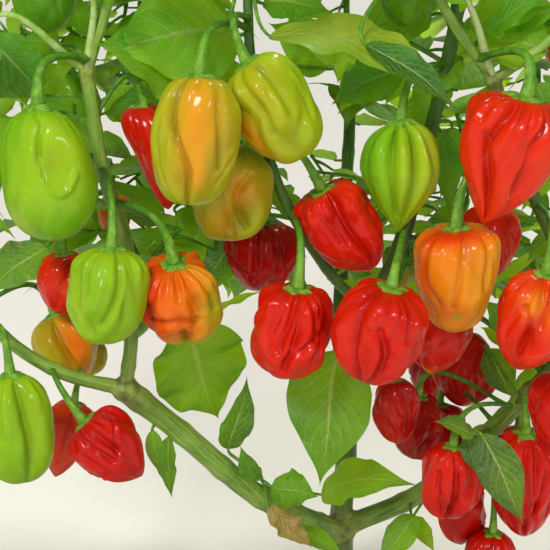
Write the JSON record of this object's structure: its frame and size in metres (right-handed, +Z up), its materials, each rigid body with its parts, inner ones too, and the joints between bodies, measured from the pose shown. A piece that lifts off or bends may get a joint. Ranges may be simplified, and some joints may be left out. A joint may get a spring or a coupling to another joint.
{
  "type": "chilli pepper plant",
  "caption": "Rooted chilli pepper plant with a forking green stem, a leafy crown and hanging lantern-shaped fruit in green, orange and red.",
  "frame": {"origin": "middle of the flat cut under the main stem, at ground level", "axes": "+Z up, +X to the right as seen from the fruiting side, +Y away from that side"},
  "size_m": [0.5671, 0.4151, 0.5275],
  "materials": {
    "stem": "satin green bark",
    "leaf": "soft satin leaf",
    "fruit_green": "waxy gloss",
    "fruit_olive": "waxy gloss",
    "fruit_orange": "waxy gloss",
    "fruit_red": "waxy gloss"
  },
  "bodies": {
    "root": {"main_stem": "stem", "left_bough": "stem", "left_upright": "stem", "left_reach": "stem", "left_top": "stem", "leader": "stem", "centre_bough": "stem", "centre_branch": "stem", "right_bough": "stem", "right_upright": "stem", "front_top": "stem", "right_top": "stem", "right_reach": "stem", "back_bough": "stem", "back_left": "stem", "back_right": "stem", "fruit_left_green": "fruit_green", "fruit_top_left_green": "fruit_green", "fruit_ribbed_green": "fruit_green", "fruit_pale_green_front": "fruit_green", "fruit_low_left_green": "fruit_green", "fruit_top_green": "fruit_green", "fruit_tilted_lime": "fruit_olive", "fruit_olive_behind": "fruit_olive", "fruit_olive_left": "fruit_olive", "fruit_tall_orange": "fruit_orange", "fruit_big_orange": "fruit_orange", "fruit_knee_orange": "fruit_orange", "fruit_orange_red_right": "fruit_orange", "fruit_slim_red": "fruit_red", "fruit_dark_red_mid": "fruit_red", "fruit_leaning_red": "fruit_red", "fruit_shouldered_red": "fruit_red", "fruit_red_left_of_two": "fruit_red", "fruit_red_right_of_two": "fruit_red", "fruit_red_under_orange": "fruit_red", "fruit_dark_red_inner": "fruit_red", "fruit_red_right_edge": "fruit_red", "fruit_dark_red_low_a": "fruit_red", "fruit_dark_red_low_b": "fruit_red", "fruit_small_red_low": "fruit_red", "fruit_red_low_right": "fruit_red", "fruit_dark_red_bottom": "fruit_red", "fruit_red_behind_pale": "fruit_red", "fruit_low_left_red": "fruit_red", "fruit_low_left_crimson": "fruit_red", "leaves_left_side": "leaf", "leaves_left_crown": "leaf", "leaves_centre_crown": "leaf", "leaves_mid_crown": "leaf", "leaves_front_crown": "leaf", "leaves_right_crown": "leaf", "leaves_right_side": "leaf", "leaves_back_left": "leaf", "leaves_back_right": "leaf", "leaves_back_crown": "leaf", "leaves_inner_left": "leaf", "leaves_inner_right": "leaf", "leaves_low_left": "leaf", "leaves_low_right": "leaf"}
  },
  "joints": []
}
